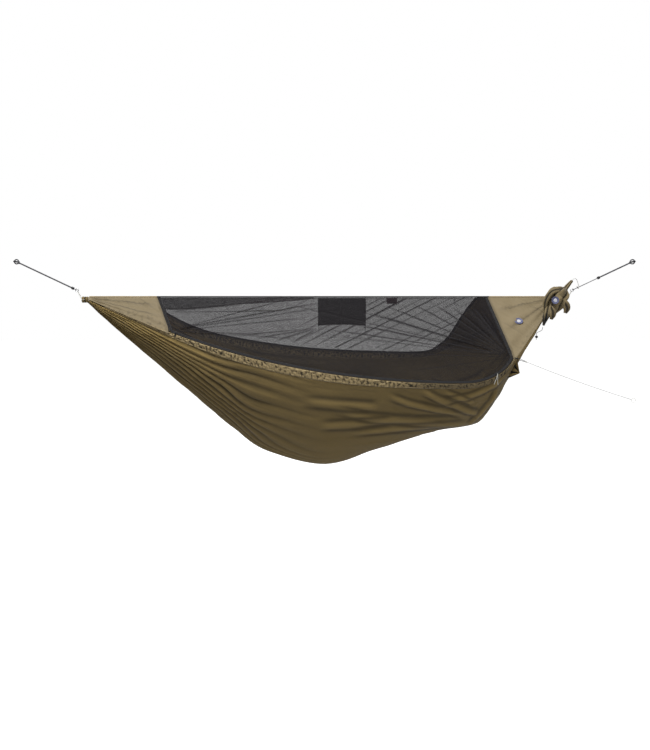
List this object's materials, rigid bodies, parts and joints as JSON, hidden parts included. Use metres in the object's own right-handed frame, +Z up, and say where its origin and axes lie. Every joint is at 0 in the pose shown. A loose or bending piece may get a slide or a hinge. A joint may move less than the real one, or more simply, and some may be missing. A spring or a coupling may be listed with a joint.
{
  "type": "camping hammock",
  "caption": "Gathered-end camping hammock with a bed of tan nylon, a zipped insect net that rolls over the ridge, and rope slings to toggles.",
  "frame": {"origin": "middle of the straight line between the two toggles that hold the hammock up", "axes": "+X along the ridgeline towards the foot end, +Z up, -Y towards the zipped entrance"},
  "size_m": [3.5028, 1.0008, 1.1617],
  "materials": {
    "coyote_fabric": "coyote-tan ripstop nylon, matt with a slight sheen on the folds",
    "casing_fabric": "the same nylon ruched over elastic",
    "insect_net": "fine black see-through insect mesh",
    "black_tape": "woven black zip tape and webbing, matt",
    "grey_rope": "braided grey hollow rope",
    "white_cord": "off-white braided cord",
    "black_cord": "black braided cord",
    "aluminium": "satin anodised",
    "black_plastic": "satin moulded",
    "dark_metal": "dark anodised",
    "pocket_fabric": "thin black nylon",
    "maroon_fabric": "dark maroon nylon",
    "patch_rubber": "soft moulded rubber, plain"
  },
  "bodies": {
    "anchors": {"toggle_head": "dark_metal", "toggle_foot": "dark_metal"},
    "hammock": {"bed_head": "coyote_fabric", "bed_seat": "coyote_fabric", "bed_foot": "coyote_fabric", "near_edge_casing": "casing_fabric", "far_edge_casing": "casing_fabric", "ridge_seam": "black_tape", "ridgeline_cord": "black_cord", "hem_zip_tape": "black_tape", "head_zip_tape": "black_tape", "foot_zip_tape": "black_tape", "far_net": "insect_net", "far_net_binding": "black_tape", "near_head_panel": "coyote_fabric", "near_foot_panel": "coyote_fabric", "far_head_panel": "coyote_fabric", "far_foot_panel": "coyote_fabric", "sling_rope_head": "grey_rope", "sling_rope_foot": "grey_rope", "sling_strands_head": "grey_rope", "sling_strands_foot": "grey_rope", "linking_ring_head": "aluminium", "linking_ring_foot": "aluminium", "gather_head": "coyote_fabric", "gather_foot": "coyote_fabric", "gather_binding_head": "black_cord", "gather_binding_foot": "black_cord", "end_loop_head": "white_cord", "end_loop_foot": "white_cord", "near_tie_loop": "black_tape", "far_tie_loop": "black_tape", "panel_patch": "patch_rubber", "corner_ear": "coyote_fabric", "stuff_sack": "coyote_fabric", "sack_patch": "patch_rubber", "sack_hitch": "white_cord", "sack_neck_cord": "white_cord", "sack_drawcord": "black_cord"},
    "net_door": {"door_net": "insect_net", "door_zip_tape": "black_tape"},
    "slider_head": {"zip_slider_head": "black_plastic"},
    "pull_head": {"zip_pull_head": "black_tape"},
    "slider_foot": {"zip_slider_foot": "black_plastic"},
    "pull_foot": {"zip_pull_foot": "white_cord"},
    "stopper_head": {"sling_stopper_head": "black_plastic"},
    "stopper_foot": {"sling_stopper_foot": "black_plastic"},
    "organizer": {"organizer_back": "pocket_fabric", "organizer_pocket": "pocket_fabric", "organizer_cord_head": "black_cord", "organizer_cord_foot": "black_cord"},
    "pouch": {"ridge_pouch": "maroon_fabric"},
    "hook": {"ridge_hook": "black_plastic"},
    "guyline": {"guyline_elastic": "black_cord", "guyline_knot": "white_cord", "guyline_cord": "white_cord", "guyline_end_loop": "white_cord"},
    "cord_lock": {"cord_lock_barrel": "black_plastic"},
    "lock_button": {"cord_lock_button": "black_plastic"}
  },
  "joints": [
    {"name": "hammock_swing", "type": "hinge", "parent": "anchors", "child": "hammock", "pos_m": [0, 0, 0], "axis": [1, 0, 0], "range_deg": [-30, 30]},
    {"name": "door_swing", "type": "hinge", "parent": "hammock", "child": "net_door", "pos_m": [0, 0, -0.196], "axis": [-1, 0, 0], "range_deg": [0, 235]},
    {"name": "slider_head_travel", "type": "hinge", "parent": "hammock", "child": "slider_head", "pos_m": [0.71081, 1.98403, 1.78803], "axis": [0, -0.7071, 0.7071], "range_deg": [0, 25]},
    {"name": "pull_head_swing", "type": "hinge", "parent": "slider_head", "child": "pull_head", "pos_m": [-0.81229, -0.21493, -0.39255], "axis": [-0.9445, 0.3285, 0], "range_deg": [0, 75]},
    {"name": "slider_foot_travel", "type": "hinge", "parent": "hammock", "child": "slider_foot", "pos_m": [0.72833, -0.23825, -0.43425], "axis": [0, -0.7071, 0.7071], "range_deg": [-32, 27]},
    {"name": "pull_foot_swing", "type": "hinge", "parent": "slider_foot", "child": "pull_foot", "pos_m": [0.9088, -0.42416, -0.60177], "axis": [-0.8906, -0.4548, 0], "range_deg": [0, 75]},
    {"name": "stopper_head_slide", "type": "slide", "parent": "hammock", "child": "stopper_head", "axis": [-0.9038, 0, 0.4279], "range_m": [0, 0.12]},
    {"name": "stopper_foot_slide", "type": "slide", "parent": "hammock", "child": "stopper_foot", "axis": [0.9038, 0, 0.4279], "range_m": [0, 0.12]},
    {"name": "organizer_slide", "type": "slide", "parent": "hammock", "child": "organizer", "axis": [1, 0, 0], "range_m": [-0.1, 0.1]},
    {"name": "pouch_slide", "type": "slide", "parent": "hammock", "child": "pouch", "axis": [1, 0, 0], "range_m": [0, 0.25]},
    {"name": "hook_swing", "type": "hinge", "parent": "hammock", "child": "hook", "pos_m": [0.732, 0, -0.208], "axis": [1, 0, 0], "range_deg": [-25, 25]},
    {"name": "guyline_swing", "type": "hinge", "parent": "hammock", "child": "guyline", "pos_m": [1.02412, -0.34768, -0.52823], "axis": [0.261, -0.1529, 0.9531], "range_deg": [-30, 30]},
    {"name": "cord_lock_slide", "type": "slide", "parent": "hammock", "child": "cord_lock", "axis": [0, 0, 1], "range_m": [-0.008, 0]},
    {"name": "cord_lock_press", "type": "slide", "parent": "cord_lock", "child": "lock_button", "axis": [0, 1, 0], "range_m": [0, 0.003], "stiffness_N_per_m": 300}
  ]
}
